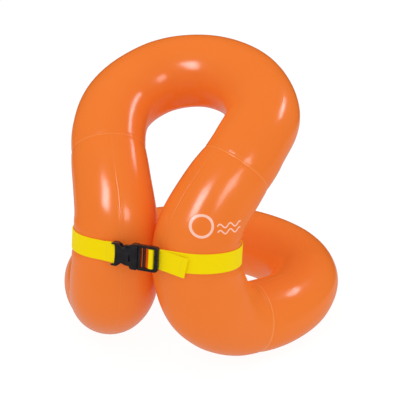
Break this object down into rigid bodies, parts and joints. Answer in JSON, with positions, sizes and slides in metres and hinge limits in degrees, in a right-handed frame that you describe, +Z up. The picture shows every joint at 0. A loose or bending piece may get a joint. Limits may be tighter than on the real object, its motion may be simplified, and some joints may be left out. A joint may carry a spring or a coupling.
{
  "type": "inflatable swim aid",
  "caption": "Inflatable tube folded into a waist ring and a neck collar, its front legs held together by a webbing belt with a side-release buckle.",
  "frame": {"origin": "under the middle of the object's box, on the plane that the waist ring rests on", "axes": "+Z up; -Y to the wearer's front, where the legs meet and the buckle is; +X to the right as seen from the front"},
  "size_m": [0.3642, 0.4062, 0.3732],
  "materials": {
    "pvc_film": "glossy inflated PVC film",
    "webbing": "woven polyester webbing, matt",
    "buckle_plastic": "moulded acetal, satin",
    "valve_pvc": "soft milky PVC"
  },
  "bodies": {
    "root": {"collar_chamber": "pvc_film", "right_leg_chamber": "pvc_film", "left_leg_chamber": "pvc_film", "waist_ring_chamber": "pvc_film", "right_collar_bulkhead": "pvc_film", "right_ring_bulkhead": "pvc_film", "left_ring_bulkhead": "pvc_film", "left_collar_bulkhead": "pvc_film", "collar_valve_flange": "pvc_film", "right_leg_valve_flange": "pvc_film", "left_leg_valve_flange": "pvc_film", "waist_ring_valve_flange": "pvc_film", "belt_webbing": "webbing", "belt_front_run": "webbing", "right_belt_keeper": "pvc_film", "left_belt_keeper": "pvc_film", "buckle_female": "buckle_plastic"},
    "male_half": {"buckle_male": "buckle_plastic", "belt_tail": "webbing"},
    "upper_arm": {"buckle_upper_arm": "buckle_plastic"},
    "lower_arm": {"buckle_lower_arm": "buckle_plastic"},
    "collar_stem": {"collar_valve_stem": "valve_pvc"},
    "collar_plug": {"collar_valve_plug": "valve_pvc"},
    "collar_flap": {"collar_valve_flap": "valve_pvc"},
    "right_leg_stem": {"right_leg_valve_stem": "valve_pvc"},
    "right_leg_plug": {"right_leg_valve_plug": "valve_pvc"},
    "right_leg_flap": {"right_leg_valve_flap": "valve_pvc"},
    "left_leg_stem": {"left_leg_valve_stem": "valve_pvc"},
    "left_leg_plug": {"left_leg_valve_plug": "valve_pvc"},
    "left_leg_flap": {"left_leg_valve_flap": "valve_pvc"},
    "waist_ring_stem": {"waist_ring_valve_stem": "valve_pvc"},
    "waist_ring_plug": {"waist_ring_valve_plug": "valve_pvc"},
    "waist_ring_flap": {"waist_ring_valve_flap": "valve_pvc"}
  },
  "joints": [
    {"name": "buckle_release", "type": "slide", "parent": "root", "child": "male_half", "axis": [1, 0, 0], "range_m": [0, 0.028], "deforming": ["belt_front_run", "buckle_upper_arm", "buckle_lower_arm"]},
    {"name": "upper_arm_press", "type": "hinge", "parent": "male_half", "child": "upper_arm", "pos_m": [-0.0005, -0.19464, 0.18057], "axis": [0, -0.9877, 0.1564], "range_deg": [0, 7], "stiffness_Nm_per_rad": 0.02},
    {"name": "lower_arm_press", "type": "hinge", "parent": "male_half", "child": "lower_arm", "pos_m": [-0.0005, -0.19705, 0.16536], "axis": [0, 0.9877, -0.1564], "range_deg": [0, 7], "stiffness_Nm_per_rad": 0.02},
    {"name": "collar_stem_slide", "type": "slide", "parent": "root", "child": "collar_stem", "axis": [0.0006, 0.9536, -0.3011], "range_m": [0, 0.012]},
    {"name": "collar_plug_hinge", "type": "hinge", "parent": "collar_stem", "child": "collar_plug", "pos_m": [-0.00817, 0.10326, 0.31256], "axis": [0.0005, 0.3011, 0.9536], "range_deg": [0, 150]},
    {"name": "collar_flap_hinge", "type": "hinge", "parent": "collar_stem", "child": "collar_flap", "pos_m": [-0.00518, 0.08228, 0.31918], "axis": [-0.0005, -0.3011, -0.9536], "range_deg": [0, 40], "stiffness_Nm_per_rad": 0.0005},
    {"name": "right_leg_stem_slide", "type": "slide", "parent": "root", "child": "right_leg_stem", "axis": [0.199, 0.8157, 0.5432], "range_m": [0, 0.012]},
    {"name": "right_leg_plug_hinge", "type": "hinge", "parent": "right_leg_stem", "child": "right_leg_plug", "pos_m": [0.0742, -0.08022, 0.12689], "axis": [0.9222, -0.3434, 0.1778], "range_deg": [0, 150]},
    {"name": "right_leg_flap_hinge", "type": "hinge", "parent": "right_leg_stem", "child": "right_leg_flap", "pos_m": [0.07082, -0.09677, 0.11248], "axis": [-0.9222, 0.3434, -0.1778], "range_deg": [0, 40], "stiffness_Nm_per_rad": 0.0005},
    {"name": "left_leg_stem_slide", "type": "slide", "parent": "root", "child": "left_leg_stem", "axis": [-0.199, 0.8157, 0.5432], "range_m": [0, 0.012]},
    {"name": "left_leg_plug_hinge", "type": "hinge", "parent": "left_leg_stem", "child": "left_leg_plug", "pos_m": [-0.07964, -0.07259, 0.11343], "axis": [-0.9222, -0.3434, 0.1778], "range_deg": [0, 150]},
    {"name": "left_leg_flap_hinge", "type": "hinge", "parent": "left_leg_stem", "child": "left_leg_flap", "pos_m": [-0.07426, -0.09193, 0.10395], "axis": [0.9222, 0.3434, -0.1778], "range_deg": [0, 40], "stiffness_Nm_per_rad": 0.0005},
    {"name": "waist_ring_stem_slide", "type": "slide", "parent": "root", "child": "waist_ring_stem", "axis": [0, 0.9536, 0.3011], "range_m": [0, 0.012]},
    {"name": "waist_ring_plug_hinge", "type": "hinge", "parent": "waist_ring_stem", "child": "waist_ring_plug", "pos_m": [0.0082, 0.2003, 0.05919], "axis": [0, 0.3011, -0.9536], "range_deg": [0, 150]},
    {"name": "waist_ring_flap_hinge", "type": "hinge", "parent": "waist_ring_stem", "child": "waist_ring_flap", "pos_m": [0.0052, 0.17932, 0.05257], "axis": [0, -0.3011, 0.9536], "range_deg": [0, 40], "stiffness_Nm_per_rad": 0.0005}
  ]
}
